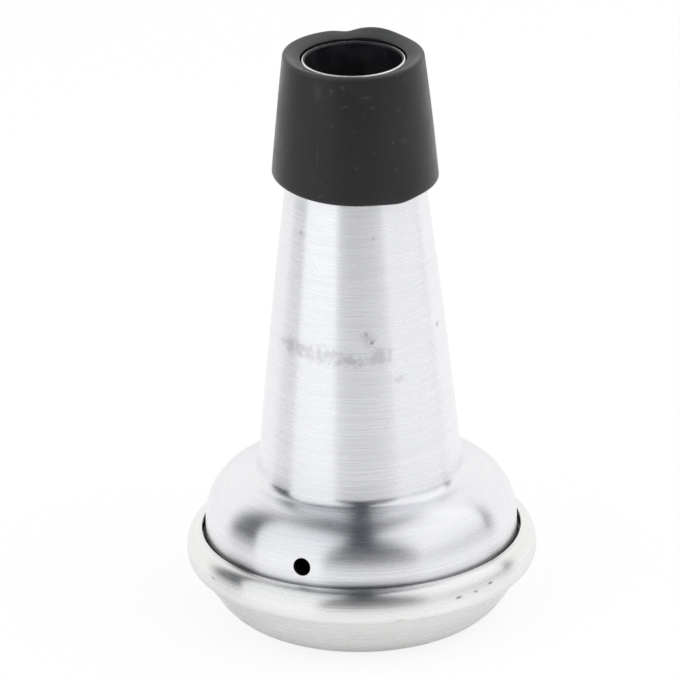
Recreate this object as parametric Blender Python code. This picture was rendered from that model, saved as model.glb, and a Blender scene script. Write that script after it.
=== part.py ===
"""Trumpet practice mute: an aluminium cone with a bulb at its foot, which plugs the bell.

The mute stands on its base cap with +Z up its axis. The origin is the centre of the flat under
the cap. Every metal piece is turned: its section is drawn as (radius, height) points and spun.
"""

import math

import bmesh
import bpy
from mathutils import Matrix, Vector

MM = 0.001

# Heights, stacked from the table up
BOWL_HEIGHT = 13.2 * MM         # table to the corner under the bead
BEAD_LOWER = 3.3 * MM           # that corner to the bead's widest circle
BEAD_UPPER = 5.3 * MM           # widest circle to the top of the rolled edge
WALL_SHOWING = 2.5 * MM         # straight wall above the rolled edge
SHOULDER_RISE = 12.4 * MM       # straight wall to the crest of the shoulder
CONE_LENGTH = 105.9 * MM        # crest of the shoulder to the mouth

# Radii
MOUTH_RADIUS = 12.55 * MM       # outside of the cone at its mouth
NECK_RADIUS = 24.7 * MM         # outside of the cone where the shoulder starts
SHOULDER_RADIUS = 38.0 * MM     # outside of the straight wall
SEAM_WIDTH = 1.3 * MM           # open groove between that wall and the rolled edge
EDGE_LAND = 0.4 * MM            # flat top of the rolled edge
BEAD_REACH = 3.05 * MM          # outer end of that land to the bead's widest circle
BOWL_STEP = 2.2 * MM            # the bowl's corner set in from the widest circle
BASE_RADIUS = 25.0 * MM         # flat that the mute stands on

# Shapes
CONE_SWELL = 0.69 * MM          # how far the cone bulges past a straight taper
NECK_FILLET = 2.5 * MM
SHOULDER_FULLNESS = 2.08        # 2 is an ellipse, more is squarer
BASE_KNUCKLE = 12.6 * MM        # round between the flat and the bowl's flank
FLANGE_BEND = 0.8 * MM
SKIRT_TUCK = 50.0               # degrees that the hidden skirt turns in under the bead

# Sheet, seam and vent
BODY_SHEET = 1.0 * MM
CAP_SHEET = 1.0 * MM
GASKET_THICKNESS = 0.7 * MM
GASKET_WIDTH = 1.3 * MM
VENT_DIAMETER = 4.4 * MM
VENT_ABOVE_EDGE = 4.3 * MM      # vent's centre above the top of the rolled edge
VENT_TURN = math.radians(22.6)  # from the front, which is -Y, towards -X
VENT_REACH = 12.0 * MM          # length of the drill's cut, centred on the wall

# Rubber collar
COLLAR_PROUD = 1.35 * MM        # collar's end above the mouth
COLLAR_LENGTH = 31.75 * MM
COLLAR_TOP_RADIUS = 17.0 * MM
COLLAR_FOOT_RADIUS = 20.0 * MM
COLLAR_SWELL = 0.15 * MM
COLLAR_ROUND = 1.0 * MM         # rounding of its outer corners
COLLAR_DISH = 0.9 * MM          # how far its end face dips towards the mouth

# Hand-trimmed ends of the collar: direction, spread in degrees, and height of each rise or dip
COLLAR_TOP_TRIM = ((160.0, 80.0, 0.4 * MM), (95.0, 9.0, -0.65 * MM), (68.0, 20.0, 1.0 * MM))
COLLAR_FOOT_TRIM = ((180.0, 60.0, 1.6 * MM), (-57.0, 12.0, -0.5 * MM))

# Foam disc
FOAM_THICKNESS = 6.0 * MM
FOAM_INSET = 1.0 * MM           # foam's edge inside the edge of the flat

CLEARANCE = 0.3 * MM            # between pieces that touch on the real mute

# Mesh
SEGMENTS = 64
VENT_SEGMENTS = 24
CONE_STEPS = 6
COLLAR_STEPS = 4
MERGE = 0.01 * MM
SHARP_ANGLE = math.radians(35.0)

# Places that follow from the sizes above
bead_height = BOWL_HEIGHT + BEAD_LOWER
edge_height = bead_height + BEAD_UPPER
wall_height = edge_height + WALL_SHOWING
crest_height = wall_height + SHOULDER_RISE
mouth_height = crest_height + CONE_LENGTH
neck_height = crest_height + NECK_FILLET
crest_radius = NECK_RADIUS + NECK_FILLET
edge_radius = SHOULDER_RADIUS + SEAM_WIDTH
land_radius = edge_radius + EDGE_LAND
bead_radius = land_radius + BEAD_REACH
corner_radius = bead_radius - BOWL_STEP
bowl_turn = corner_radius - BASE_RADIUS
# The widest knuckle that still leaves a flank as long as the sheet is thick
widest_knuckle = (bowl_turn ** 2 + BOWL_HEIGHT ** 2 - CAP_SHEET ** 2) / (2.0 * BOWL_HEIGHT)
knuckle_radius = min(BASE_KNUCKLE, widest_knuckle)
gasket_top = edge_height - CAP_SHEET - 2.0 * CLEARANCE
flange_height = gasket_top - GASKET_THICKNESS - CLEARANCE


def arc(centre, half_width, half_height, start, end, steps, fullness=2.0):
    """Points on an elliptical arc, its ends at the angles start and end in degrees."""
    points = []
    for step in range(steps + 1):
        angle = math.radians(start + (end - start) * step / steps)
        across = math.copysign(abs(math.cos(angle)) ** (2.0 / fullness), math.cos(angle))
        rise = math.copysign(abs(math.sin(angle)) ** (2.0 / fullness), math.sin(angle))
        points.append((centre[0] + half_width * across, centre[1] + half_height * rise))
    return points


def cone_radius(height):
    """Outside radius of the cone, which bulges a little between its mouth and its neck."""
    share = (mouth_height - height) / (mouth_height - neck_height)
    taper = MOUTH_RADIUS + (NECK_RADIUS - MOUTH_RADIUS) * share
    return taper + CONE_SWELL * 4.0 * share * (1.0 - share)


def cone_line(low, high, steps, inset):
    """Points up the cone from one height to another, set in from its outside."""
    heights = [low + (high - low) * step / steps for step in range(steps + 1)]
    return [(cone_radius(height) - inset, height) for height in heights]


def spin_section(section):
    """A closed turned shape from a section whose ends either meet or lie on the axis."""
    bm = bmesh.new()
    verts = [bm.verts.new((radius, 0.0, height)) for radius, height in section]
    edges = [bm.edges.new(pair) for pair in zip(verts, verts[1:])]
    on_axis = section[0][0] < MERGE and section[-1][0] < MERGE
    if not on_axis:
        edges.append(bm.edges.new((verts[-1], verts[0])))
    bmesh.ops.spin(bm, geom=verts + edges, cent=(0.0, 0.0, 0.0), axis=(0.0, 0.0, 1.0),
                   angle=math.tau, steps=SEGMENTS, use_merge=True)
    bmesh.ops.remove_doubles(bm, verts=bm.verts, dist=MERGE)
    bmesh.ops.recalc_face_normals(bm, faces=bm.faces)
    return bm


def finish_piece(name, bm, material):
    """Turns the bmesh into a named object with its material and smooth shading."""
    mesh = bpy.data.meshes.new(name)
    bm.to_mesh(mesh)
    bm.free()
    mesh.shade_smooth()
    mesh.set_sharp_from_angle(angle=SHARP_ANGLE)
    mesh.materials.append(material)
    piece = bpy.data.objects.new(name, mesh)
    bpy.context.collection.objects.link(piece)
    return piece


def make_material(name, colour, metallic, roughness):
    material = bpy.data.materials.new(name)
    material.use_nodes = True
    shader = material.node_tree.nodes["Principled BSDF"]
    shader.inputs["Base Color"].default_value = (*colour, 1.0)
    shader.inputs["Metallic"].default_value = metallic
    shader.inputs["Roughness"].default_value = roughness
    return material


def body_rim_outside():
    """The flange under the rolled edge and the skirt that nests in the bead, going down."""
    offset = CAP_SHEET + CLEARANCE
    bend_centre = (SHOULDER_RADIUS + FLANGE_BEND, flange_height + FLANGE_BEND)
    bend = arc(bend_centre, FLANGE_BEND, FLANGE_BEND, 180.0, 270.0, 2)
    turn_down = arc((land_radius, bead_height), BEAD_REACH - offset,
                    flange_height - bead_height, 90.0, 0.0, 3)
    tuck_in = arc((corner_radius, bead_height), BOWL_STEP - offset,
                  BEAD_LOWER - offset, 0.0, -SKIRT_TUCK, 2)
    return bend + turn_down + tuck_in[1:]


def body_rim_inside(skirt_end):
    """The inner face of the same skirt and flange, going up."""
    turn_up = arc((land_radius, bead_height), BEAD_REACH - CAP_SHEET - CLEARANCE - BODY_SHEET,
                  flange_height - BODY_SHEET - bead_height, 0.0, 90.0, 2)
    bend_centre = (SHOULDER_RADIUS + FLANGE_BEND, flange_height + FLANGE_BEND)
    bend = arc(bend_centre, FLANGE_BEND + BODY_SHEET, FLANGE_BEND + BODY_SHEET, 270.0, 180.0, 2)
    return [(skirt_end[0] - BODY_SHEET, skirt_end[1])] + turn_up + bend


def make_cone_body(material):
    """One spun sheet: mouth, cone, neck, shoulder, wall and the rim held inside the bead."""
    lip = BODY_SHEET / 2.0
    lip_centre = (MOUTH_RADIUS - lip, mouth_height - lip)
    fillet_centre = (crest_radius, neck_height)
    shoulder_centre = (crest_radius, wall_height)
    shoulder_width = SHOULDER_RADIUS - crest_radius

    outside = arc(lip_centre, lip, lip, 180.0, 0.0, 4)
    outside += cone_line(mouth_height - lip, neck_height, CONE_STEPS, 0.0)[1:]
    outside += arc(fillet_centre, NECK_FILLET, NECK_FILLET, 180.0, 270.0, 3)[1:]
    outside += arc(shoulder_centre, shoulder_width, SHOULDER_RISE, 90.0, 0.0, 8, SHOULDER_FULLNESS)[1:]
    outside += body_rim_outside()

    inner_fillet = NECK_FILLET + BODY_SHEET
    inside = body_rim_inside(outside[-1])
    inside += arc(shoulder_centre, shoulder_width - BODY_SHEET, SHOULDER_RISE - BODY_SHEET,
                  0.0, 90.0, 6, SHOULDER_FULLNESS)
    inside += arc(fillet_centre, inner_fillet, inner_fillet, 270.0, 180.0, 3)[1:]
    inside += cone_line(neck_height, mouth_height - lip, CONE_STEPS, BODY_SHEET)[1:-1]
    return finish_piece("cone_body", spin_section(outside + inside), material)


def make_vent_cutter(body):
    """Drills the vent through the shoulder, square to the axis."""
    height = edge_height + VENT_ABOVE_EDGE
    outwards = Vector((-math.sin(VENT_TURN), -math.cos(VENT_TURN), 0.0))
    place = Matrix.Translation(outwards * SHOULDER_RADIUS + Vector((0.0, 0.0, height)))
    bm = bmesh.new()
    bmesh.ops.create_cone(bm, cap_ends=True, segments=VENT_SEGMENTS, radius1=VENT_DIAMETER / 2.0,
                          radius2=VENT_DIAMETER / 2.0, depth=VENT_REACH,
                          matrix=place @ outwards.to_track_quat("Z", "Y").to_matrix().to_4x4())
    mesh = bpy.data.meshes.new("vent_cutter")
    bm.to_mesh(mesh)
    bm.free()
    cutter = bpy.data.objects.new("vent_cutter", mesh)
    bpy.context.collection.objects.link(cutter)
    cutter.hide_render = True
    cutter.display_type = "WIRE"
    cut = body.modifiers.new("vent", "BOOLEAN")
    cut.operation = "DIFFERENCE"
    cut.object = cutter


def flank_start(centre, radius, corner):
    """Angle, in degrees, at which the knuckle's circle runs tangent to the corner."""
    away = (corner[0] - centre[0], corner[1] - centre[1])
    spread = math.acos(radius / math.hypot(*away))
    return math.degrees(math.atan2(away[1], away[0]) - spread)


def make_base_cap(material):
    """A spun bowl whose rim bulges into a bead and is rolled in over the body's flange."""
    corner = (corner_radius, BOWL_HEIGHT)
    knuckle_centre = (BASE_RADIUS, knuckle_radius)
    tangent = flank_start(knuckle_centre, knuckle_radius, corner)
    inwards = (-math.cos(math.radians(tangent)), -math.sin(math.radians(tangent)))
    inner_corner = (corner[0] + inwards[0] * CAP_SHEET, corner[1] + inwards[1] * CAP_SHEET)
    land_centre = (land_radius, bead_height)
    step_centre = (corner_radius, bead_height)
    inner_knuckle = knuckle_radius - CAP_SHEET

    outside = [(0.0, 0.0)]
    outside += arc(knuckle_centre, knuckle_radius, knuckle_radius, -90.0, tangent, 5)
    outside += arc(step_centre, BOWL_STEP, BEAD_LOWER, -90.0, 0.0, 4)
    outside += arc(land_centre, BEAD_REACH, BEAD_UPPER, 0.0, 90.0, 5)[1:]
    outside += [(edge_radius, edge_height)]

    inside = [(edge_radius, edge_height - CAP_SHEET)]
    inside += arc(land_centre, BEAD_REACH - CAP_SHEET, BEAD_UPPER - CAP_SHEET, 90.0, 0.0, 4)
    inside += arc(step_centre, BOWL_STEP - CAP_SHEET, BEAD_LOWER - CAP_SHEET, 0.0, -90.0, 2)[1:]
    inside += [inner_corner]
    inside += arc(knuckle_centre, inner_knuckle, inner_knuckle, tangent, -90.0, 4)
    inside += [(0.0, CAP_SHEET)]
    return finish_piece("base_cap", spin_section(outside + inside), material)


def make_seam_gasket(material):
    """A flat ring pinched between the body's flange and the rolled edge of the cap."""
    inner = SHOULDER_RADIUS + FLANGE_BEND + CLEARANCE
    outer = inner + GASKET_WIDTH
    foot = gasket_top - GASKET_THICKNESS
    section = [(inner, foot), (outer, foot), (outer, gasket_top), (inner, gasket_top)]
    return finish_piece("seam_gasket", spin_section(section), material)


def make_foam_disc(material):
    """A disc of soft foam on the floor of the base cap."""
    radius = BASE_RADIUS - FOAM_INSET
    foot = CAP_SHEET + CLEARANCE
    top = foot + FOAM_THICKNESS
    section = [(0.0, foot), (radius, foot), (radius, top), (0.0, top)]
    return finish_piece("foam_disc", spin_section(section), material)


def trim(angle, cuts):
    """Height that the hand-trimmed edge gains or loses in one direction."""
    total = 0.0
    for direction, spread, height in cuts:
        away = (math.degrees(angle) - direction + 180.0) % 360.0 - 180.0
        total += height * math.exp(-((away / spread) ** 2))
    return total


def make_rubber_collar(material):
    """The tapered rubber sleeve bonded round the mouth, which seals in the trumpet's bell."""
    top = mouth_height + COLLAR_PROUD
    foot = top - COLLAR_LENGTH
    outside = []
    for step in range(COLLAR_STEPS + 1):
        share = step / COLLAR_STEPS
        height = top - COLLAR_ROUND - (COLLAR_LENGTH - 2.0 * COLLAR_ROUND) * share
        radius = COLLAR_TOP_RADIUS + (COLLAR_FOOT_RADIUS - COLLAR_TOP_RADIUS) * share
        outside.append((radius + COLLAR_SWELL * 4.0 * share * (1.0 - share), height))
    top_round = arc((COLLAR_TOP_RADIUS - COLLAR_ROUND, top - COLLAR_ROUND), COLLAR_ROUND,
                    COLLAR_ROUND, 90.0, 0.0, 3)
    foot_round = arc((COLLAR_FOOT_RADIUS - COLLAR_ROUND, foot + COLLAR_ROUND), COLLAR_ROUND,
                     COLLAR_ROUND, 0.0, -90.0, 3)
    bore_end = top - COLLAR_DISH
    bore = cone_line(foot, bore_end, COLLAR_STEPS, -CLEARANCE)
    bm = spin_section(top_round[:-1] + outside + foot_round[1:] + bore)
    middle = (top + foot) / 2.0
    for vert in bm.verts:
        angle = math.atan2(vert.co.y, vert.co.x)
        share = abs(vert.co.z - middle) / (COLLAR_LENGTH / 2.0)
        cuts = COLLAR_TOP_TRIM if vert.co.z > middle else COLLAR_FOOT_TRIM
        vert.co.z += trim(angle, cuts) * share
    return finish_piece("rubber_collar", bm, material)


def main():
    for old in list(bpy.data.objects):
        bpy.data.objects.remove(old)
    aluminium = make_material("brushed_aluminium", (0.82, 0.83, 0.85), 1.0, 0.28)
    cap_aluminium = make_material("spun_aluminium", (0.84, 0.84, 0.84), 1.0, 0.32)
    rubber = make_material("black_rubber", (0.03, 0.032, 0.034), 0.0, 0.55)
    sealing = make_material("sealing_rubber", (0.02, 0.02, 0.02), 0.0, 0.7)
    foam = make_material("grey_foam", (0.12, 0.12, 0.13), 0.0, 0.95)

    body = make_cone_body(aluminium)
    make_vent_cutter(body)
    make_base_cap(cap_aluminium)
    make_seam_gasket(sealing)
    make_foam_disc(foam)
    make_rubber_collar(rubber)


main()
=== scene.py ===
# %% [markdown]
# # A trumpet practice mute
# The mute is a hollow cone of spun aluminium that plugs the bell of a trumpet. A black rubber
# sleeve seals its narrow end, and a bulb closes its wide end. Nearly every surface was made on a
# lathe, so this lesson is about turned shapes, and about metal that shows the room around it.
#
# The engineering model is already there as a fixed frame. This script dresses it: each plain solid
# is replaced by a finely turned piece at the same place, and every piece gets its real finish.

# %% Load the frame
import math

import bmesh
import bpy
from mathutils import Matrix, Vector, noise


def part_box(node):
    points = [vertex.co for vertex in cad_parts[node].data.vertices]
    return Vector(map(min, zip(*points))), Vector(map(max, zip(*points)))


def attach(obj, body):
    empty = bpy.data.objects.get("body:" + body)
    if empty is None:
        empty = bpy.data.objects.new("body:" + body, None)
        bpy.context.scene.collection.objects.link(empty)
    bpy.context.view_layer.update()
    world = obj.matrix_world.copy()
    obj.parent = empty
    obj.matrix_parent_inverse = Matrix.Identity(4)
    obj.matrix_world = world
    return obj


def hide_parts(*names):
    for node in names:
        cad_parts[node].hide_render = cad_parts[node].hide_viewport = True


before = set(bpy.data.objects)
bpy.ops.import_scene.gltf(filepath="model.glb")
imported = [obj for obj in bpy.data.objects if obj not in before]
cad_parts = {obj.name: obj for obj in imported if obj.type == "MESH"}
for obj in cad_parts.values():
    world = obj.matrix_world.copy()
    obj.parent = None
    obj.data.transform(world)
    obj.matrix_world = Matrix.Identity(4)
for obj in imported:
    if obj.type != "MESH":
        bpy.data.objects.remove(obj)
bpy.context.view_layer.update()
print("pieces in the frame:", sorted(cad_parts))

# %% [markdown]
# ## Sizes
# Heights and radii come from the frame where a solid's box gives them, so that the fine pieces
# stay where the solids are. What a box can't tell, such as the round of the neck, is a named
# value here, in millimetres times MM.

# %% Sizes
MM = 0.001
body_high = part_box("cone_body")[1]
cap_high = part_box("base_cap")[1]
gasket_low, gasket_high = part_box("seam_gasket")
foam_low, foam_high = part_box("foam_disc")

mouth_height = body_high.z
edge_height = cap_high.z
bead_radius = cap_high.x

MOUTH_RADIUS = 12.55 * MM
NECK_RADIUS = 24.7 * MM
NECK_FILLET = 2.5 * MM
CONE_LENGTH = 105.9 * MM
CONE_SWELL = 0.69 * MM
SHOULDER_RADIUS = 38.0 * MM
SHOULDER_RISE = 12.4 * MM
SHEET = 1.0 * MM
CLEARANCE = 0.3 * MM

BEAD_UPPER = 5.3 * MM
BEAD_LOWER = 3.3 * MM
BEAD_REACH = 3.05 * MM
EDGE_LAND = 0.75 * MM
EDGE_ROUND = 0.12 * MM
BOWL_STEP = 2.2 * MM
BOWL_HEIGHT = 13.2 * MM
BASE_RADIUS = 25.0 * MM
BASE_KNUCKLE = 12.6 * MM

crest_height = mouth_height - CONE_LENGTH
neck_height = crest_height + NECK_FILLET
wall_height = crest_height - SHOULDER_RISE
crest_radius = NECK_RADIUS + NECK_FILLET
bead_height = edge_height - BEAD_UPPER
land_radius = bead_radius - BEAD_REACH
edge_radius = land_radius - EDGE_LAND
corner_radius = bead_radius - BOWL_STEP
print(f"mouth at {mouth_height / MM:.1f} mm, bead {2 * bead_radius / MM:.1f} mm across")

# %% [markdown]
# ## Camera
# The camera comes first, because everything is judged through it. The photograph looks down at
# the mute from about 23 degrees, from far away through a long lens, and is turned by one degree.
# A camera could be turned by three angles, but it is easier to check when its matrix is built from
# the three directions of the picture: right, up and back.

# %% Camera
CAMERA_PITCH = math.radians(22.567)
CAMERA_ROLL = math.radians(-1.054)
CAMERA_DISTANCE = 1630.5 * MM
CAMERA_AIM = Vector((-4.401, 0.0, 70.261)) * MM
CAMERA_REACH = 20.0
SENSOR = 36.0
LENS = 357.2


def make_camera():
    back = Vector((0.0, -math.cos(CAMERA_PITCH), math.sin(CAMERA_PITCH)))
    level = Vector((1.0, 0.0, 0.0))
    rise = Vector((0.0, math.sin(CAMERA_PITCH), math.cos(CAMERA_PITCH)))
    right = level * math.cos(CAMERA_ROLL) + rise * math.sin(CAMERA_ROLL)
    up = rise * math.cos(CAMERA_ROLL) - level * math.sin(CAMERA_ROLL)
    data = bpy.data.cameras.new("camera")
    data.sensor_width = SENSOR
    data.lens = LENS
    data.clip_end = CAMERA_REACH
    camera = bpy.data.objects.new("camera", data)
    bpy.context.scene.collection.objects.link(camera)
    turned = Matrix((right, up, back)).transposed().to_4x4()
    camera.matrix_world = Matrix.Translation(CAMERA_AIM + back * CAMERA_DISTANCE) @ turned
    bpy.context.scene.camera = camera


make_camera()
print(f"camera made, {CAMERA_DISTANCE:.2f} m from the point it aims at")

# %% [markdown]
# ## Drawing a section
# A turned shape is its section swept round the axis. The section could be typed as a long list
# of points, but then nobody can change it. Here it is drawn as a spinner would draw it: a point is
# extruded to make a straight stretch, and spun about a centre to make a round one. Scaling a
# round stretch across its centre makes it elliptical.

# %% Section helpers
def start_section(radius, height):
    bm = bmesh.new()
    return bm, bm.verts.new((radius, 0.0, height))


def line_to(bm, tip, radius, height):
    """Extrudes the last point of a section to a new place."""
    end = bmesh.ops.extrude_vert_indiv(bm, verts=[tip])["verts"][0]
    end.co = (radius, 0.0, height)
    return end


def turn_about(bm, tip, centre, degrees, steps, width=None, rise=None):
    """Spins the last point about a centre; width or rise stretches the arc to an ellipse."""
    pivot = Vector((centre[0], 0.0, centre[1]))
    reach = (tip.co - pivot).length
    known = set(bm.verts)
    spun = bmesh.ops.spin(bm, geom=[tip], cent=pivot, axis=(0.0, -1.0, 0.0),
                          angle=math.radians(degrees), steps=steps)
    end = [item for item in spun["geom_last"] if isinstance(item, bmesh.types.BMVert)][0]
    fresh = [vert for vert in bm.verts if vert not in known]
    stretch = ((width or reach) / reach, 1.0, (rise or reach) / reach)
    bmesh.ops.scale(bm, vec=stretch, space=Matrix.Translation(-pivot), verts=fresh)
    return end


print("a section is drawn with start_section, line_to and turn_about")

# %% [markdown]
# ## From a section to a piece
# A Screw modifier could sweep the section too, but after a spin in the same bmesh the points can
# still be trimmed. The spin leaves doubles on the axis, so they are merged first, and then the
# normals are recalculated, so that the whole skin faces out. A finished piece rides on the one
# body of the frame and stands for one of its solids.

# %% Sweep and finish
TURN_STEPS = 256
MERGE = 0.005 * MM
SHARP_ANGLE = math.radians(35.0)


def turn_solid(bm, steps=TURN_STEPS):
    """Sweeps the section round the axis into one closed skin that faces out."""
    bmesh.ops.spin(bm, geom=bm.verts[:] + bm.edges[:], cent=(0.0, 0.0, 0.0),
                   axis=(0.0, 0.0, 1.0), angle=math.tau, steps=steps, use_merge=True)
    bmesh.ops.remove_doubles(bm, verts=bm.verts, dist=MERGE)
    bmesh.ops.recalc_face_normals(bm, faces=bm.faces)


def add_object(bm, name):
    """Makes the bmesh an object of the scene, at the origin."""
    mesh = bpy.data.meshes.new(name)
    bm.to_mesh(mesh)
    bm.free()
    made = bpy.data.objects.new(name, mesh)
    bpy.context.scene.collection.objects.link(made)
    return made


def finish_piece(bm, name, node):
    """Makes the bmesh a smooth piece that stands for a node of the frame."""
    piece = add_object(bm, name)
    piece.data.shade_smooth()
    piece.data.set_sharp_from_angle(angle=SHARP_ANGLE)
    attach(piece, "root")
    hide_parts(node)
    print(name, "has", len(piece.data.polygons), "faces")
    return piece


print(f"a turned skin has a point every {360.0 / TURN_STEPS:.2f} degrees")

# %% [markdown]
# ## The side of the cone
# The cone isn't quite straight: spinning leaves it a little fuller in the middle, like a barrel.
# A straight line from mouth to neck would be simpler, but its edges look ruled. One formula gives
# the radius at any height, and the sleeve uses it again, because its bore follows the cone.

# %% Side of the cone
CONE_STEPS = 40


def barrel(share):
    """A bulge that is nothing at both ends of a stretch and one in its middle."""
    return 4.0 * share * (1.0 - share)


def cone_radius(height):
    """Outside radius of the cone at a height."""
    share = (mouth_height - height) / (mouth_height - neck_height)
    taper = MOUTH_RADIUS + (NECK_RADIUS - MOUTH_RADIUS) * share
    return taper + CONE_SWELL * barrel(share)


def cone_line(bm, tip, start, end, inset, steps=CONE_STEPS):
    """Draws the barrelled side of the cone from one height to another."""
    for step in range(1, steps + 1):
        height = start + (end - start) * step / steps
        tip = line_to(bm, tip, cone_radius(height) - inset, height)
    return tip


half_way = (mouth_height + neck_height) / 2.0
print(f"half way up, the cone is {2.0 * cone_radius(half_way) / MM:.1f} mm across")

# %% [markdown]
# ## The hidden rim
# Under its wall the sheet turns out into a flange, drops inside the bead of the cap and tucks
# under, and that fold holds the two sheets together. A plain step would do for the picture. The
# real fold is drawn instead, because the meshes are looked at too.

# %% Rim of the cone
RIM_STEPS = 6
FLANGE_BEND = 0.8 * MM
GASKET_GAP = 0.3 * MM
SKIRT_TUCK = 50.0

flange_height = gasket_low.z - GASKET_GAP


def draw_rim(bm, tip):
    """The flange and the skirt that are held inside the bead, out and back again."""
    bend = (SHOULDER_RADIUS + FLANGE_BEND, flange_height + FLANGE_BEND)
    land = (land_radius, bead_height)
    step = (corner_radius, bead_height)
    cover = SHEET + CLEARANCE
    tip = line_to(bm, tip, SHOULDER_RADIUS, bend[1])
    tip = turn_about(bm, tip, bend, 90.0, RIM_STEPS)
    tip = line_to(bm, tip, land_radius, flange_height)
    tip = turn_about(bm, tip, land, -90.0, RIM_STEPS, width=BEAD_REACH - cover)
    tip = turn_about(bm, tip, step, -SKIRT_TUCK, RIM_STEPS, rise=BEAD_LOWER - cover)
    tip = line_to(bm, tip, tip.co.x - SHEET, tip.co.z)
    tip = line_to(bm, tip, land_radius + BEAD_REACH - cover - SHEET, bead_height)
    tip = turn_about(bm, tip, land, 90.0, RIM_STEPS, rise=flange_height - SHEET - bead_height)
    tip = line_to(bm, tip, bend[0], flange_height - SHEET)
    return turn_about(bm, tip, bend, -90.0, RIM_STEPS)


print(f"the flange lies at {flange_height / MM:.1f} mm")

# %% [markdown]
# ## The cone
# One sheet of aluminium is spun into the round lip, the cone, the tight neck, the domed shoulder
# and the wall that drops into the seam. A single skin with a Solidify modifier would be quicker,
# but it can't make the lip round. So the section starts inside the lip, goes over it, down the
# outside, round the rim and back up the inside, one sheet thick, and closes on its first point.

# %% Cone
LIP_STEPS = 10
NECK_STEPS = 12
SHOULDER_STEPS = 30


def make_cone():
    lip = SHEET / 2.0
    lip_height = mouth_height - lip
    neck = (crest_radius, neck_height)
    dome = (crest_radius, wall_height)
    dome_width = SHOULDER_RADIUS - crest_radius

    bm, first = start_section(MOUTH_RADIUS - SHEET, lip_height)
    tip = turn_about(bm, first, (MOUTH_RADIUS - lip, lip_height), -180.0, LIP_STEPS)
    tip = cone_line(bm, tip, lip_height, neck_height, 0.0)
    tip = turn_about(bm, tip, neck, 90.0, NECK_STEPS)
    tip = turn_about(bm, tip, dome, -90.0, SHOULDER_STEPS, width=dome_width)
    tip = draw_rim(bm, tip)
    tip = line_to(bm, tip, SHOULDER_RADIUS - SHEET, wall_height)
    tip = turn_about(bm, tip, dome, 90.0, SHOULDER_STEPS, rise=SHOULDER_RISE - SHEET)
    tip = turn_about(bm, tip, neck, -90.0, NECK_STEPS)
    tip = cone_line(bm, tip, neck_height, lip_height, SHEET)
    bm.edges.new((tip, first))
    turn_solid(bm)
    return finish_piece(bm, "cone", "cone_body")


cone = make_cone()

# %% [markdown]
# ## The vent
# A small hole is drilled through the shoulder, the only way out for the air. A dark disc would
# look like a hole from the front only. A hidden cylinder cuts a real one with a Boolean, and the
# result is baked into the mesh, so that the piece is whole and nothing is left over.

# %% Vent
VENT_DIAMETER = 4.4 * MM
VENT_ABOVE_EDGE = 4.3 * MM
VENT_TURN = math.radians(22.6)
VENT_DEPTH = 12.0 * MM
VENT_SIDES = 48


def make_drill():
    outwards = Vector((-math.sin(VENT_TURN), -math.cos(VENT_TURN), 0.0))
    centre = outwards * SHOULDER_RADIUS + Vector((0.0, 0.0, edge_height + VENT_ABOVE_EDGE))
    turned = outwards.to_track_quat("Z", "Y").to_matrix().to_4x4()
    bm = bmesh.new()
    bmesh.ops.create_cone(bm, cap_ends=True, segments=VENT_SIDES, radius1=VENT_DIAMETER / 2.0,
                          radius2=VENT_DIAMETER / 2.0, depth=VENT_DEPTH,
                          matrix=Matrix.Translation(centre) @ turned)
    return add_object(bm, "vent_drill")


def drill_vent(piece):
    """Cuts the vent and swaps the piece's mesh for the result; the drill goes."""
    drill = make_drill()
    cut = piece.modifiers.new("vent", "BOOLEAN")
    cut.operation = "DIFFERENCE"
    cut.object = drill
    bpy.context.view_layer.update()
    graph = bpy.context.evaluated_depsgraph_get()
    whole = bpy.data.meshes.new_from_object(piece.evaluated_get(graph))
    piece.modifiers.clear()
    old = piece.data
    piece.data = whole
    bpy.data.meshes.remove(old)
    bpy.data.objects.remove(drill)
    piece.data.set_sharp_from_angle(angle=SHARP_ANGLE)


drill_vent(cone)
print("vent drilled, the cone now has", len(cone.data.polygons), "faces")

# %% [markdown]
# ## The base cap
# The cap is a bowl with a flat foot, a round knuckle and a straight flank. Its rim bulges into a
# bead, and is rolled in over the flange of the cone. A bowl and a separate ring would meet in a
# crease, where the real sheet flows on, so the cap is again one section. Its raw edge stands a
# little off the wall, and that narrow dark groove makes the seam look like two sheets.

# %% Base cap
KNUCKLE_STEPS = 20
BEAD_STEPS = 16


def flank_angle(centre, corner):
    """Degrees at which the knuckle's circle runs straight into the corner under the bead."""
    away = Vector((corner[0] - centre[0], corner[1] - centre[1]))
    spread = math.acos(BASE_KNUCKLE / away.length)
    return math.degrees(math.atan2(away.y, away.x) - spread)


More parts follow.
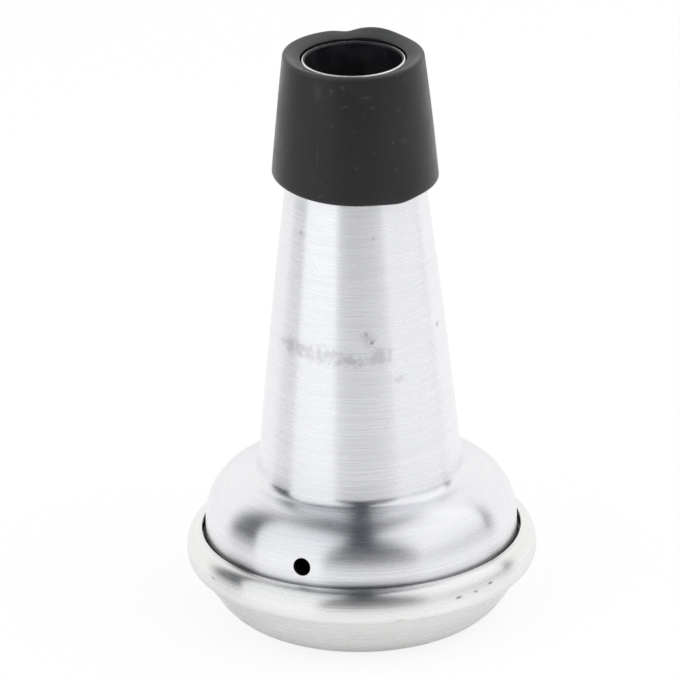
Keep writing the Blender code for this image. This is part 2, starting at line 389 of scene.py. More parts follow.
def make_cap():
    corner = (corner_radius, BOWL_HEIGHT)
    knuckle = (BASE_RADIUS, BASE_KNUCKLE)
    land = (land_radius, bead_height)
    step = (corner_radius, bead_height)
    flank = flank_angle(knuckle, corner)
    lean = math.radians(flank)
    inner_corner = (corner[0] - math.cos(lean) * SHEET, corner[1] - math.sin(lean) * SHEET)
    inner_reach = BASE_KNUCKLE - SHEET
    inner_flank = (knuckle[0] + math.cos(lean) * inner_reach,
                   knuckle[1] + math.sin(lean) * inner_reach)
    raw_edge = (edge_radius + EDGE_ROUND, edge_height - EDGE_ROUND)

    bm, first = start_section(0.0, 0.0)
    tip = line_to(bm, first, BASE_RADIUS, 0.0)
    tip = turn_about(bm, tip, knuckle, 90.0 + flank, KNUCKLE_STEPS)
    tip = line_to(bm, tip, *corner)
    tip = turn_about(bm, tip, step, 90.0, BEAD_STEPS, width=BOWL_STEP)
    tip = turn_about(bm, tip, land, 90.0, BEAD_STEPS, rise=BEAD_UPPER)
    tip = line_to(bm, tip, raw_edge[0], edge_height)
    tip = turn_about(bm, tip, raw_edge, 90.0, RIM_STEPS)
    tip = line_to(bm, tip, edge_radius, edge_height - SHEET)
    tip = line_to(bm, tip, land_radius, edge_height - SHEET)
    tip = turn_about(bm, tip, land, -90.0, RIM_STEPS, width=BEAD_REACH - SHEET)
    tip = turn_about(bm, tip, step, -90.0, RIM_STEPS, rise=BEAD_LOWER - SHEET)
    tip = line_to(bm, tip, *inner_corner)
    tip = line_to(bm, tip, *inner_flank)
    tip = turn_about(bm, tip, knuckle, -90.0 - flank, KNUCKLE_STEPS)
    line_to(bm, tip, 0.0, SHEET)
    turn_solid(bm)
    return finish_piece(bm, "cap", "base_cap")


cap = make_cap()

# %% [markdown]
# ## The hand-cut ends of the sleeve
# The rubber sleeve was cut by hand, so its ends rise and dip. Points could be pulled about one by
# one, but a formula keeps the cuts smooth and easy to change: every point moves up or down by a
# smooth bump in its direction, full at the end and fading to nothing at the middle. The end face
# also tilts, so more of it shows at the back of the bore than at the front.

# %% Trimming
SLEEVE_LENGTH = 31.75 * MM
SLEEVE_TOP_RADIUS = 17.0 * MM
SLEEVE_DISH_TILT = 0.8 * MM
TILT_FADE = 8
TRIM_AT_BORE = 0.25
TOP_TRIM = ((160.0, 80.0, 0.4 * MM), (95.0, 9.0, -0.65 * MM), (68.0, 20.0, 0.92 * MM))
FOOT_TRIM = ((180.0, 60.0, 1.6 * MM), (-57.0, 12.0, -0.5 * MM))


def trim(angle, cuts):
    """Height gained or lost in one direction; each cut is a direction, a spread and a height."""
    total = 0.0
    for direction, spread, height in cuts:
        away = (math.degrees(angle) - direction + 180.0) % 360.0 - 180.0
        total += height * math.exp(-((away / spread) ** 2))
    return total


def trim_ends(bm, top, foot, bore_radius):
    """Moves the points of the tube; share is one at an end and nothing at the middle."""
    middle = (top + foot) / 2.0
    for vert in bm.verts:
        angle = math.atan2(vert.co.y, vert.co.x)
        radius = math.hypot(vert.co.x, vert.co.y)
        share = abs(vert.co.z - middle) / (SLEEVE_LENGTH / 2.0)
        if vert.co.z > middle:
            inner = max(0.0, 1.0 - (radius - bore_radius) / (SLEEVE_TOP_RADIUS - bore_radius))
            tilt = SLEEVE_DISH_TILT * (math.sin(angle) - 1.0) / 2.0 * inner * share ** TILT_FADE
            kept = 1.0 - (1.0 - TRIM_AT_BORE) * inner
            vert.co.z += trim(angle, TOP_TRIM) * share * kept + tilt
        else:
            vert.co.z += trim(angle, FOOT_TRIM) * share


print(f"{len(TOP_TRIM)} cuts at the top of the sleeve, {len(FOOT_TRIM)} at its foot")

# %% [markdown]
# ## The rubber sleeve
# The sleeve is a tapered tube with rounded edges and a dished end face, and it seals the mute in
# the bell. A cone primitive with a bevel comes close, but its bore would be straight. Here the
# section is drawn like the others: across the dish, down the swelling side and back up along the
# cone with a little clearance. The ends are trimmed once it is swept round.

# %% Sleeve
SLEEVE_PROUD = 1.35 * MM
SLEEVE_FOOT_RADIUS = 20.0 * MM
SLEEVE_SWELL = 0.15 * MM
SLEEVE_ROUND = 0.9 * MM
SLEEVE_DISH = 0.9 * MM
SLEEVE_STEPS = 24
SLEEVE_ROUND_STEPS = 6
FACE_STEPS = 6


def make_sleeve():
    top = mouth_height + SLEEVE_PROUD
    foot = top - SLEEVE_LENGTH
    bore_end = top - SLEEVE_DISH
    bore_radius = cone_radius(bore_end) + CLEARANCE
    face_edge = SLEEVE_TOP_RADIUS - SLEEVE_ROUND
    foot_edge = (SLEEVE_FOOT_RADIUS - SLEEVE_ROUND, foot + SLEEVE_ROUND)
    side_length = SLEEVE_LENGTH - 2.0 * SLEEVE_ROUND

    bm, tip = start_section(bore_radius, bore_end)
    for step in range(1, FACE_STEPS + 1):
        share = step / FACE_STEPS
        tip = line_to(bm, tip, bore_radius + (face_edge - bore_radius) * share,
                      bore_end + SLEEVE_DISH * share)
    tip = turn_about(bm, tip, (face_edge, top - SLEEVE_ROUND), -90.0, SLEEVE_ROUND_STEPS)
    for step in range(1, SLEEVE_STEPS + 1):
        share = step / SLEEVE_STEPS
        radius = SLEEVE_TOP_RADIUS + (SLEEVE_FOOT_RADIUS - SLEEVE_TOP_RADIUS) * share
        tip = line_to(bm, tip, radius + SLEEVE_SWELL * barrel(share),
                      top - SLEEVE_ROUND - side_length * share)
    tip = turn_about(bm, tip, foot_edge, -90.0, SLEEVE_ROUND_STEPS)
    tip = line_to(bm, tip, cone_radius(foot) + CLEARANCE, foot)
    cone_line(bm, tip, foot, bore_end, -CLEARANCE, SLEEVE_STEPS)
    turn_solid(bm)
    trim_ends(bm, top, foot, bore_radius)
    return finish_piece(bm, "sleeve", "rubber_collar")


sleeve = make_sleeve()

# %% [markdown]
# ## The gasket in the seam
# Two soft pieces make the mute work, though no view from outside shows them. The first is a rubber
# ring that closes the seam. It could be a torus, but it is pinched flat between two sheets, so its
# section is a small flat rectangle, and its corners are beveled.

# %% Gasket
GASKET_ROUND = 0.15 * MM
GASKET_BEVEL_STEPS = 3


def make_gasket():
    inner = SHOULDER_RADIUS + FLANGE_BEND + CLEARANCE
    outer = gasket_high.x
    bm, first = start_section(inner, gasket_low.z)
    tip = line_to(bm, first, outer, gasket_low.z)
    tip = line_to(bm, tip, outer, gasket_high.z)
    tip = line_to(bm, tip, inner, gasket_high.z)
    bm.edges.new((tip, first))
    turn_solid(bm)
    corners = [edge for edge in bm.edges if edge.calc_face_angle(0.0) > SHARP_ANGLE]
    bmesh.ops.bevel(bm, geom=corners, offset=GASKET_ROUND, offset_type="OFFSET",
                    segments=GASKET_BEVEL_STEPS, profile=0.5, affect="EDGES", material=-1)
    return finish_piece(bm, "gasket", "seam_gasket")


gasket = make_gasket()

# %% [markdown]
# ## The foam disc
# The second soft piece lies on the floor of the bulb and swallows sound. Cut foam is never quite
# flat, so the disc has round edges and a slight crown, and noise sinks its skin a little. A
# Displace modifier would do the same. Moving the points here keeps the flat underside flat.

# %% Foam disc
FOAM_ROUND = 1.2 * MM
FOAM_CROWN = 0.35 * MM
FOAM_PITS = 0.12 * MM
FOAM_GRAIN = 1.6 * MM
FOAM_RINGS = 22
FOAM_TURNS = 128


def make_foam():
    radius = foam_high.x
    lower = (radius - FOAM_ROUND, foam_low.z + FOAM_ROUND)
    upper = (radius - FOAM_ROUND, foam_high.z - FOAM_CROWN - FOAM_ROUND)
    bm, tip = start_section(0.0, foam_low.z)
    tip = line_to(bm, tip, lower[0], foam_low.z)
    tip = turn_about(bm, tip, lower, 90.0, RIM_STEPS)
    tip = line_to(bm, tip, radius, upper[1])
    tip = turn_about(bm, tip, upper, 90.0, RIM_STEPS)
    for ring in range(1, FOAM_RINGS + 1):
        share = ring / FOAM_RINGS
        crown = FOAM_CROWN * math.sin(share * math.pi / 2.0)
        tip = line_to(bm, tip, upper[0] * (1.0 - share), foam_high.z - FOAM_CROWN + crown)
    turn_solid(bm, FOAM_TURNS)
    for vert in bm.verts:
        if vert.co.z > foam_low.z + MERGE:
            vert.co -= vert.normal * FOAM_PITS * abs(noise.noise(vert.co / FOAM_GRAIN))
    piece = finish_piece(bm, "foam", "foam_disc")
    return piece


foam = make_foam()

# %% [markdown]
# ## Helpers for nodes
# The finishes are built from many small nodes, and each takes several lines to add and link. Nodes
# could be wired by hand in the editor, but then the script couldn't make them again. A helper adds
# one node, or one small sum, and returns its output, so that a pattern reads like a formula.

# %% Node helpers
def new_group(name, inputs, outputs):
    """A shader group with float inputs, given as names and defaults, and float outputs."""
    group = bpy.data.node_groups.new(name, "ShaderNodeTree")
    for label, value in inputs.items():
        socket = group.interface.new_socket(label, in_out="INPUT", socket_type="NodeSocketFloat")
        socket.default_value = value
    for label in outputs:
        group.interface.new_socket(label, in_out="OUTPUT", socket_type="NodeSocketFloat")
    return group, group.nodes.new("NodeGroupInput"), group.nodes.new("NodeGroupOutput")


def feed(tree, socket, value):
    """Links an output to a socket, or sets the socket to a number."""
    if isinstance(value, bpy.types.NodeSocket):
        tree.links.new(value, socket)
    else:
        socket.default_value = value


def calc(tree, operation, first, second=0.0):
    """One Math node."""
    node = tree.nodes.new("ShaderNodeMath")
    node.operation = operation
    feed(tree, node.inputs[0], first)
    feed(tree, node.inputs[1], second)
    return node.outputs[0]


def square(tree, value):
    return calc(tree, "MULTIPLY", value, value)


def diagonal(tree, across, along):
    """The length of a step that goes one way and the other at once."""
    return calc(tree, "SQRT", calc(tree, "ADD", square(tree, across), square(tree, along)))


def remap(tree, value, low, high, to_low=0.0, to_high=1.0, smooth=True):
    """One Map Range node, eased unless told otherwise."""
    node = tree.nodes.new("ShaderNodeMapRange")
    node.interpolation_type = "SMOOTHSTEP" if smooth else "LINEAR"
    for socket, number in zip(node.inputs, (value, low, high, to_low, to_high)):
        feed(tree, socket, number)
    return node.outputs[0]


print("node helpers ready")

# %% [markdown]
# ## Patterns on a piece
# Lathe marks, stains and dust could be painted on pictures, but noise needs no file and no
# unwrapping, and stays sharp close up. It reads Object coordinates, which hold still on a piece
# wherever the piece goes.

# %% Pattern helpers
NOISE_DETAIL = 3.0
NOISE_BREAKUP = 0.6


def object_place(tree):
    """The Object coordinates of the piece that wears the material."""
    return tree.nodes.new("ShaderNodeTexCoord").outputs["Object"]


def object_axes(tree):
    """The three Object coordinates as separate outputs."""
    split = tree.nodes.new("ShaderNodeSeparateXYZ")
    tree.links.new(object_place(tree), split.inputs[0])
    return split.outputs


def add_noise(tree, vector, scale, detail=NOISE_DETAIL, breakup=NOISE_BREAKUP, fourth=None):
    """One Noise Texture, in four dimensions if a fourth coordinate is given."""
    node = tree.nodes.new("ShaderNodeTexNoise")
    node.noise_dimensions = "3D" if fourth is None else "4D"
    tree.links.new(vector, node.inputs["Vector"])
    feed(tree, node.inputs["Scale"], scale)
    node.inputs["Detail"].default_value = detail
    node.inputs["Roughness"].default_value = breakup
    if fourth is not None:
        feed(tree, node.inputs["W"], fourth)
    return node.outputs["Fac"]


print("plain noise has detail", NOISE_DETAIL, "and roughness", NOISE_BREAKUP)

# %% [markdown]
# ## Lathe marks
# Abrasive held against the turning metal leaves fine lines that run round the axis and fade in
# and out along their length. A Wave texture would draw them too evenly. Noise makes them here: it
# changes quickly with radius and height, and slowly with direction. The direction goes in as its
# sine and cosine, so there is no seam. Both metals use the marks, so they are a shader node group,
# built once and placed with other values each time. A group puts out only masks and values.

# %% Lathe marks group
LATHE_DEFAULTS = {"Fineness": 2200.0, "Runs": 2.5}
LINE_BREAKUP = 0.65
AXIS_GUARD = 0.1 * MM


def make_lathe_group():
    group, given, result = new_group("lathe_marks", LATHE_DEFAULTS, ["Lines"])
    fineness = given.outputs["Fineness"]
    runs = given.outputs["Runs"]
    x, y, z = object_axes(group)
    radius = diagonal(group, x, y)
    safe = calc(group, "MAXIMUM", radius, AXIS_GUARD)
    across = calc(group, "MULTIPLY", calc(group, "DIVIDE", x, safe), runs)
    along = calc(group, "MULTIPLY", calc(group, "DIVIDE", y, safe), runs)
    join = group.nodes.new("ShaderNodeCombineXYZ")
    group.links.new(calc(group, "MULTIPLY", radius, fineness), join.inputs[0])
    group.links.new(calc(group, "MULTIPLY", z, fineness), join.inputs[1])
    group.links.new(across, join.inputs[2])
    lines = add_noise(group, join.outputs[0], 1.0, breakup=LINE_BREAKUP, fourth=along)
    group.links.new(lines, result.inputs["Lines"])
    return group


lathe_marks = make_lathe_group()
print("lathe marks made of", len(lathe_marks.nodes), "nodes")

# %% [markdown]
# ## Stains and scuffs
# A mark sits at one place on a turned piece: a direction round the axis, in degrees from the
# camera to its right, and a height. Its mask falls off from there across its width and height,
# and noise eats into its outline. A list of such places is easier to move about than a painting.

# %% Mark group
MARK_DEFAULTS = {"Direction": 0.0, "Height": 0.1, "Width": 0.004, "Tall": 0.002, "Grain": 900.0}
GRAIN_SPAN = (0.3, 0.7)
GRAIN_BITE = 0.45
MARK_FADE = 1.3


def make_mark_group():
    group, given, result = new_group("mark", MARK_DEFAULTS, ["Mask"])
    direction = given.outputs["Direction"]
    x, y, z = object_axes(group)
    radius = diagonal(group, x, y)
    ahead_x = calc(group, "SINE", direction)
    ahead_y = calc(group, "MULTIPLY", calc(group, "COSINE", direction), -1.0)
    gap_x = calc(group, "SUBTRACT", x, calc(group, "MULTIPLY", ahead_x, radius))
    gap_y = calc(group, "SUBTRACT", y, calc(group, "MULTIPLY", ahead_y, radius))
    gap_z = calc(group, "SUBTRACT", z, given.outputs["Height"])
    flat = calc(group, "ADD", square(group, gap_x), square(group, gap_y))
    wide = calc(group, "DIVIDE", flat, square(group, given.outputs["Width"]))
    tall = calc(group, "DIVIDE", square(group, gap_z), square(group, given.outputs["Tall"]))
    away = calc(group, "SQRT", calc(group, "ADD", wide, tall))
    grain = add_noise(group, object_place(group), given.outputs["Grain"])
    eaten = calc(group, "ADD", away, remap(group, grain, *GRAIN_SPAN, -GRAIN_BITE, GRAIN_BITE))
    group.links.new(remap(group, eaten, 0.0, MARK_FADE, 1.0, 0.0), result.inputs["Mask"])
    return group


mark_group = make_mark_group()
print("mark made of", len(mark_group.nodes), "nodes")

# %% [markdown]
# ## Many marks at once
# A real piece has a dozen stains. One group with a dozen places would be hard to read, so a loop
# places the small group again and again, and the strongest mark wins where two meet.

# %% Add marks
def add_marks(tree, marks, grain):
    """The strongest of several marks; each is direction, height, width, tallness, strength."""
    total = 0.0
    for direction, height, width, tall, strength in marks:
        node = tree.nodes.new("ShaderNodeGroup")
        node.node_tree = mark_group
        node.inputs["Direction"].default_value = math.radians(direction)
        node.inputs["Height"].default_value = height * MM
        node.inputs["Width"].default_value = width * MM
        node.inputs["Tall"].default_value = tall * MM
        node.inputs["Grain"].default_value = grain
        mask = calc(tree, "MULTIPLY", node.outputs["Mask"], strength)
        total = calc(tree, "MAXIMUM", mask, total)
    return total


print("marks are listed as direction, height, width, tallness and strength")

# %% [markdown]
# ## Building a material
# Every material starts from a Principled shader. The helpers place a group in it, mix two colours
# by a mask, and turn a pattern into a faint relief. The shader itself stays in the material, and a
# value that is the same all over is set on its own socket.

# %% Material helpers
MIX_SHARE, MIX_UNDER, MIX_OVER, MIX_RESULT = 0, 6, 7, 2


def start_material(name):
    material = bpy.data.materials.new(name)
    material.use_nodes = True
    return material, material.node_tree, material.node_tree.nodes["Principled BSDF"]


def add_group(tree, group, values):
    node = tree.nodes.new("ShaderNodeGroup")
    node.node_tree = group
    for label, value in values.items():
        node.inputs[label].default_value = value
    return node


def mix_colour(tree, share, under, over):
    """One Mix node, whose colour sockets are picked by number because their names repeat."""
    node = tree.nodes.new("ShaderNodeMix")
    node.data_type = "RGBA"
    feed(tree, node.inputs[MIX_SHARE], share)
    feed(tree, node.inputs[MIX_UNDER], under)
    feed(tree, node.inputs[MIX_OVER], over)
    return node.outputs[MIX_RESULT]


def lay_over(tree, colour, mask, share, over):
    """Lays a colour over another where a mask is, as strongly as share says."""
    return mix_colour(tree, calc(tree, "MULTIPLY", mask, share), colour, over)


def add_bump(tree, shader, height, distance, strength):
    bump = tree.nodes.new("ShaderNodeBump")
    bump.inputs["Distance"].default_value = distance
    bump.inputs["Strength"].default_value = strength
    tree.links.new(height, bump.inputs["Height"])
    tree.links.new(bump.outputs["Normal"], shader.inputs["Normal"])


print("material helpers ready")

# %% [markdown]
# ## Aluminium
# Brushed metal is smooth along its lines and rough across them, so a lamp smears into a tall
# streak. Bump alone can't do that. The Principled shader does it with Anisotropic, and a Tangent
# node tells it which way the lines run. Fine and broad marks also change the colour and the
# roughness a little, and raise a faint bump. Stains darken the metal and make it duller.

# %% Aluminium
CONE_LIGHT = (0.89, 0.895, 0.91, 1.0)
CONE_DARK = (0.835, 0.84, 0.855, 1.0)
CONE_BUMP = 0.2
CAP_LIGHT = (0.90, 0.90, 0.885, 1.0)
CAP_DARK = (0.83, 0.83, 0.815, 1.0)
CAP_BUMP = 0.22

FINE_LINES = {"Fineness": 2900.0, "Runs": 1.3}
BROAD_LINES = {"Fineness": 650.0, "Runs": 0.7}
FINE_SHARE = 0.8
LINE_SHADES = (0.25, 0.75)
LINE_GLOSS = (0.3, 0.7, 1.1, 0.9)
LINE_DEPTH = 0.02 * MM
METAL_ROUGHNESS = 0.28
BRUSHED = 0.95
QUARTER_TURN = 0.25

STAIN_COLOUR = (0.16, 0.155, 0.15, 1.0)
STAIN_GRAIN = 700.0
STAIN_DULLS = 0.15
CONE_MARKS = (
    (-42.0, 74.8, 7.5, 2.4, 0.26), (-24.0, 74.2, 6.5, 2.4, 0.22), (-6.0, 73.4, 5.0, 1.6, 0.26),
    (6.0, 79.0, 1.8, 2.2, 0.18), (9.0, 78.0, 0.9, 0.8, 0.6), (5.5, 79.8, 0.6, 0.7, 0.35),
    (14.0, 74.2, 3.6, 2.4, 0.22), (27.0, 68.0, 1.8, 1.2, 0.18), (-47.0, 103.1, 0.9, 0.7, 0.24),
    (13.0, 103.3, 0.6, 0.5, 0.3), (66.0, 77.5, 0.9, 0.8, 0.5))
CAP_MARKS = (
    (33.0, 17.8, 1.1, 0.35, 0.8), (39.5, 17.9, 0.8, 0.3, 0.7), (46.0, 18.5, 1.1, 0.4, 0.8),
    (-58.0, 18.0, 1.4, 0.3, 0.4), (12.0, 14.5, 1.6, 0.25, 0.35), (-20.0, 13.4, 1.2, 0.3, 0.35),
    (120.0, 17.0, 1.5, 0.3, 0.5), (-150.0, 18.6, 1.0, 0.3, 0.5))


def add_tangent(tree, shader):
    """Runs the brushing round the axis."""
    tangent = tree.nodes.new("ShaderNodeTangent")
    tangent.direction_type = "RADIAL"
    tangent.axis = "Z"
    tree.links.new(tangent.outputs[0], shader.inputs["Tangent"])
    shader.inputs["Anisotropic"].default_value = BRUSHED
    shader.inputs["Anisotropic Rotation"].default_value = QUARTER_TURN


def make_aluminium(name, light, dark, marks, bump):
    material, tree, shader = start_material(name)
    fine = add_group(tree, lathe_marks, FINE_LINES).outputs["Lines"]
    broad = add_group(tree, lathe_marks, BROAD_LINES).outputs["Lines"]
    lines = calc(tree, "ADD", calc(tree, "MULTIPLY", fine, FINE_SHARE),
                 calc(tree, "MULTIPLY", broad, 1.0 - FINE_SHARE))
    stain = add_marks(tree, marks, STAIN_GRAIN)
    colour = mix_colour(tree, remap(tree, lines, *LINE_SHADES, smooth=False), dark, light)
    colour = mix_colour(tree, stain, colour, STAIN_COLOUR)
    rough = calc(tree, "MULTIPLY", remap(tree, lines, *LINE_GLOSS), METAL_ROUGHNESS)
    rough = calc(tree, "ADD", rough, calc(tree, "MULTIPLY", stain, STAIN_DULLS))
    tree.links.new(colour, shader.inputs["Base Color"])
    tree.links.new(rough, shader.inputs["Roughness"])
    shader.inputs["Metallic"].default_value = 1.0
    add_tangent(tree, shader)
    add_bump(tree, shader, lines, LINE_DEPTH, bump)
    return material


cone.data.materials.append(make_aluminium(
    "brushed_aluminium_fine", CONE_LIGHT, CONE_DARK, CONE_MARKS, CONE_BUMP))
cap.data.materials.append(make_aluminium(
    "spun_aluminium_fine", CAP_LIGHT, CAP_DARK, CAP_MARKS, CAP_BUMP))
print("aluminium with", len(CONE_MARKS), "marks on the cone and", len(CAP_MARKS), "on the cap")

# %% [markdown]
# ## Inside the cone
# The bore looks nearly black. With the bright metal it would mirror the white room, so the inner
# faces get a dull, dark colour of their own. A face belongs to the inside when its normal points
# to the axis.

# %% Inside of the cone
INSIDE_DARK = (0.018, 0.019, 0.022, 1.0)
INSIDE_LIGHT = (0.035, 0.036, 0.040, 1.0)
INSIDE_CLOUDS = 160.0
INSIDE_SHADES = (0.35, 0.65)
INSIDE_GLOSS = (0.3, 0.7, 0.35, 0.55)
INSIDE_METAL = 0.5


def make_dark_inside():
    """The sheet's inner face, dull and dark, mottled by clouds of noise."""
    material, tree, shader = start_material("dull_inside")
    clouds = add_noise(tree, object_place(tree), INSIDE_CLOUDS)
    colour = mix_colour(tree, remap(tree, clouds, *INSIDE_SHADES), INSIDE_DARK, INSIDE_LIGHT)
    tree.links.new(colour, shader.inputs["Base Color"])
    tree.links.new(remap(tree, clouds, *INSIDE_GLOSS), shader.inputs["Roughness"])
    shader.inputs["Metallic"].default_value = INSIDE_METAL
    return material


cone.data.materials.append(make_dark_inside())
inside_faces = [face for face in cone.data.polygons
                if face.normal.x * face.center.x + face.normal.y * face.center.y < 0.0]
for face in inside_faces:
    face.material_index = 1
print(len(inside_faces), "faces of the cone face the axis")

# %% [markdown]
# ## Rubber
# The sleeve is nearly black and satin. Dust sits on it as pale grains, and handling has left
# scuffs.
# A painted sheen makes it paler towards its top end face, where light falls on it from above. One
# flat black would read as a hole in the picture, so clouds vary the black, fine noise scatters the
# grains, and each scuff is one mark.

# %% Rubber
RUBBER_DARK = (0.0030, 0.0033, 0.0042, 1.0)
RUBBER_LIGHT = (0.007, 0.0075, 0.0088, 1.0)
RUBBER_CLOUDS = 90.0
CLOUD_DETAIL = 4.0
CLOUD_SHADES = (0.4, 0.7)
CLOUD_GLOSS = (0.35, 0.7, 0.27, 0.38)
RUBBER_SPECULAR = 0.36
RUBBER_DEPTH = 0.06 * MM
RUBBER_BUMP = 0.5
GRAIN_BUMP = 0.4

# Painted sheen: the top end face of the sleeve is painted paler, for the light it catches from
# above.
END_FACE_SHEEN_COLOUR = (0.054, 0.056, 0.057, 1.0)
END_FACE_SHEEN_SHARE = 0.7
END_FACE_SHEEN_START = 0.2 * MM
DUST_COLOUR = (0.25, 0.25, 0.24, 1.0)
DUST_GRAIN = 1500.0
DUST_DETAIL = 2.0
DUST_BREAKUP = 0.5
DUST_STARTS = (0.70, 0.76)
DUST_SHARE = 0.2
SCUFF_COLOUR = (0.22, 0.22, 0.21, 1.0)
SCUFF_GRAIN = 1400.0
SCUFF_SHARE = 0.16
SCUFF_DULLS = 0.25
SCUFFS = (
    (-30.0, 140.0, 1.2, 2.4, 0.5), (-18.0, 140.5, 0.6, 0.6, 0.6), (-9.0, 141.5, 0.6, 0.6, 0.6),
    (-9.0, 137.0, 0.5, 0.5, 0.6), (8.0, 139.0, 1.6, 0.35, 0.5), (44.0, 141.5, 0.8, 0.6, 0.5),
    (-17.0, 132.0, 0.5, 0.5, 0.5), (-28.0, 124.0, 0.4, 3.2, 0.35), (1.0, 122.0, 0.5, 0.5, 0.6),
    (-60.0, 134.5, 0.6, 0.5, 0.5), (14.0, 136.5, 0.6, 0.5, 0.5), (36.0, 135.0, 0.7, 0.5, 0.5),
    (38.0, 127.0, 1.0, 0.7, 0.4), (30.0, 120.5, 0.6, 0.6, 0.4), (-24.0, 115.0, 0.7, 0.4, 0.4))


def make_rubber():
    material, tree, shader = start_material("black_rubber_worn")
    place = object_place(tree)
    clouds = add_noise(tree, place, RUBBER_CLOUDS, CLOUD_DETAIL)
    grains = add_noise(tree, place, DUST_GRAIN, DUST_DETAIL, DUST_BREAKUP)
    dust = remap(tree, grains, *DUST_STARTS)
    scuffs = add_marks(tree, SCUFFS, SCUFF_GRAIN)
    # Painted sheen: the rubber turns paler towards its top end face, where light from above falls
    # on it.
    end_face_sheen = remap(tree, object_axes(tree)[2], mouth_height + END_FACE_SHEEN_START,
                     mouth_height + SLEEVE_PROUD)
    colour = mix_colour(tree, remap(tree, clouds, *CLOUD_SHADES), RUBBER_DARK, RUBBER_LIGHT)
    colour = lay_over(tree, colour, end_face_sheen, END_FACE_SHEEN_SHARE, END_FACE_SHEEN_COLOUR)
    colour = lay_over(tree, colour, dust, DUST_SHARE, DUST_COLOUR)
    colour = lay_over(tree, colour, scuffs, SCUFF_SHARE, SCUFF_COLOUR)
    rough = calc(tree, "ADD", remap(tree, clouds, *CLOUD_GLOSS),
                 calc(tree, "MULTIPLY", scuffs, SCUFF_DULLS))
    tree.links.new(colour, shader.inputs["Base Color"])
    tree.links.new(rough, shader.inputs["Roughness"])
    shader.inputs["Specular IOR Level"].default_value = RUBBER_SPECULAR
    relief = calc(tree, "ADD", calc(tree, "MULTIPLY", grains, GRAIN_BUMP), clouds)
    add_bump(tree, shader, relief, RUBBER_DEPTH, RUBBER_BUMP)
    return material


sleeve.data.materials.append(make_rubber())
print("rubber with", len(SCUFFS), "scuffs")

# %% [markdown]
# ## Sealing rubber and foam
# Both are matte and full of pores, fine in the ring and coarse in the foam. A tiny sphere for each
# pore would cost far too many faces, so one noise gives the shades and the same noise the bump.

# %% Sealing rubber and foam
PORE_SHADES = (0.35, 0.65)
PORE_BUMP = 0.8


def make_plain_soft(name, dark, light, grain, roughness, depth):
    """Matte rubber or foam: two shades through a grain, and the same grain as bump."""
    material, tree, shader = start_material(name)
    pores = add_noise(tree, object_place(tree), grain)
    colour = mix_colour(tree, remap(tree, pores, *PORE_SHADES), dark, light)
    tree.links.new(colour, shader.inputs["Base Color"])
    shader.inputs["Roughness"].default_value = roughness
    add_bump(tree, shader, pores, depth, PORE_BUMP)
    return material


gasket.data.materials.append(make_plain_soft(
    "sealing_rubber_matte", dark=(0.014, 0.014, 0.014, 1.0), light=(0.03, 0.03, 0.03, 1.0),
    grain=1200.0, roughness=0.7, depth=0.03 * MM))
foam.data.materials.append(make_plain_soft(
    "grey_foam_open", dark=(0.05, 0.05, 0.055, 1.0), light=(0.17, 0.17, 0.18, 1.0),
    grain=1500.0, roughness=0.95, depth=0.3 * MM))
print("materials made:", len(bpy.data.materials))

# %% [markdown]
# ## Floor and world
# Metal shows the room, so the room is designed for it. A pale floor lies all round, and the camera
# sees it as white with only the mute's faint shadow. The world is white to the camera. To the
# metal it is dark in front and white behind, and to plain surfaces it is an even grey light. A
# photograph of a studio would do too, but its dark gap couldn't be moved to where it is needed.

# %% Floor and world
WHITE = (1.0, 1.0, 1.0, 1.0)
FLOOR_SIZE = 6.0
FLOOR_DROP = 0.02 * MM
FLOOR_COLOUR = (0.9, 0.9, 0.9, 1.0)
FLOOR_ROUGHNESS = 0.9
FLOOR_SHARE = 0.86
ROOM_GREY = (0.80, 0.80, 0.80, 1.0)
DARK_GAP = (0.045, 0.050, 0.065, 1.0)
BACKDROP_STARTS = (0.25, 0.50)


def make_floor():
    bm = bmesh.new()
    bmesh.ops.create_grid(bm, x_segments=1, y_segments=1, size=FLOOR_SIZE / 2.0)
    bmesh.ops.translate(bm, vec=(0.0, 0.0, -FLOOR_DROP), verts=bm.verts)
    floor = add_object(bm, "floor")
    material, tree, shader = start_material("floor_white")
    shader.inputs["Base Color"].default_value = FLOOR_COLOUR
    shader.inputs["Roughness"].default_value = FLOOR_ROUGHNESS
    shader.inputs["Specular IOR Level"].default_value = 0.0
    glow = tree.nodes.new("ShaderNodeEmission")
    rays = tree.nodes.new("ShaderNodeLightPath")
    blend = tree.nodes.new("ShaderNodeMixShader")
    seen = calc(tree, "MULTIPLY", rays.outputs["Is Camera Ray"], FLOOR_SHARE)
    tree.links.new(seen, blend.inputs[0])
    tree.links.new(shader.outputs[0], blend.inputs[1])
    tree.links.new(glow.outputs[0], blend.inputs[2])
    tree.links.new(blend.outputs[0], tree.nodes["Material Output"].inputs["Surface"])
    floor.data.materials.append(material)


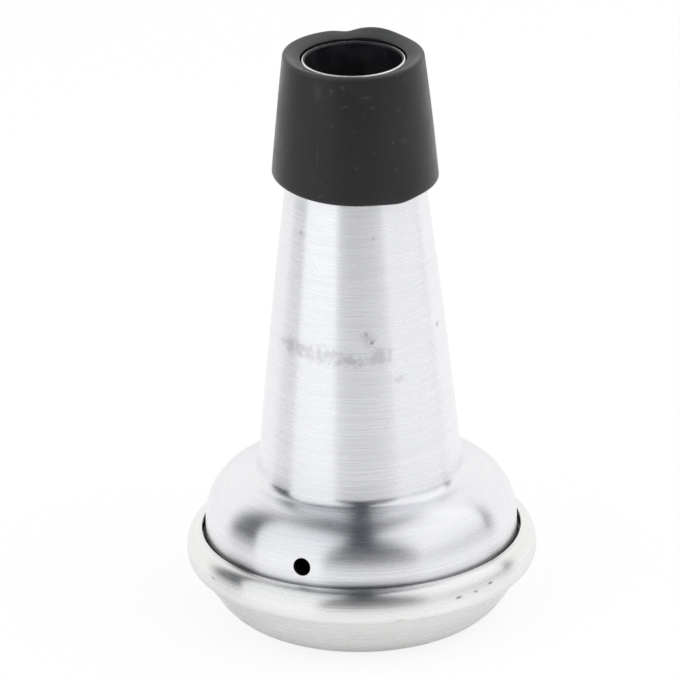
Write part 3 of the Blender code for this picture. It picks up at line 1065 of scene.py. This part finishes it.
def make_world():
    """White to the camera; to metal, dark in front and white behind; grey as plain light."""
    world = bpy.data.worlds.new("studio")
    bpy.context.scene.world = world
    world.use_nodes = True
    tree = world.node_tree
    background = tree.nodes["Background"]
    rays = tree.nodes.new("ShaderNodeLightPath")
    place = tree.nodes.new("ShaderNodeTexCoord")
    split = tree.nodes.new("ShaderNodeSeparateXYZ")
    tree.links.new(place.outputs["Generated"], split.inputs[0])
    room = mix_colour(tree, remap(tree, split.outputs[1], *BACKDROP_STARTS), DARK_GAP, WHITE)
    mirrored = calc(tree, "MAXIMUM", rays.outputs["Is Glossy Ray"],
                    rays.outputs["Is Transmission Ray"])
    level = mix_colour(tree, mirrored, ROOM_GREY, room)
    level = mix_colour(tree, rays.outputs["Is Camera Ray"], level, WHITE)
    tree.links.new(level, background.inputs["Color"])


make_floor()
make_world()
bpy.context.scene.view_settings.view_transform = "Standard"
print(f"floor {FLOOR_SIZE:.0f} m across, and a world with a dark gap in front")

# %% [markdown]
# ## Soft boxes
# Two tall soft boxes stand at the front left and at the right, with the dark gap between them,
# where the camera is. Their mirror images are the bright strips on the cone, and their shape
# matters more than their power: a bare point lamp would leave only a thin white line. They are
# plain and nearly white, so that a colour renders about as it is written. Their watts follow from
# how bright a strip should look, so a box can change its size and keep its brightness.

# %% Soft boxes
LAMP_DISTANCE = 1.2
WATTS_PER_RADIANCE = 4.0
LEFT_BOX = {"azimuth": -55.5, "elevation": 30.0, "width": 1.34, "tall": 1.65,
            "radiance": 0.72, "colour": (0.975, 0.98, 1.0)}
RIGHT_BOX = {"azimuth": 73.0, "elevation": 41.0, "width": 1.62, "tall": 1.60,
             "radiance": 0.80, "colour": (0.985, 0.985, 1.0)}


def add_softbox(name, azimuth, elevation, width, tall, radiance, colour):
    """An area lamp that faces the mute; azimuth 0 is at the camera and grows to its right."""
    data = bpy.data.lights.new(name, "AREA")
    data.shape = "RECTANGLE"
    data.size = width
    data.size_y = tall
    data.energy = radiance * WATTS_PER_RADIANCE * width * tall
    data.color = colour
    lamp = bpy.data.objects.new(name, data)
    bpy.context.scene.collection.objects.link(lamp)
    turn = math.radians(azimuth)
    lift = math.radians(elevation)
    away = Vector((math.sin(turn) * math.cos(lift), -math.cos(turn) * math.cos(lift),
                   math.sin(lift)))
    lamp.location = away * LAMP_DISTANCE + Vector((0.0, 0.0, mouth_height / 2.0))
    lamp.rotation_euler = away.to_track_quat("Z", "Y").to_euler()
    print(f"{name} gives {data.energy:.1f} W over {width * tall:.1f} square metres")


add_softbox("left_softbox", **LEFT_BOX)
add_softbox("right_softbox", **RIGHT_BOX)
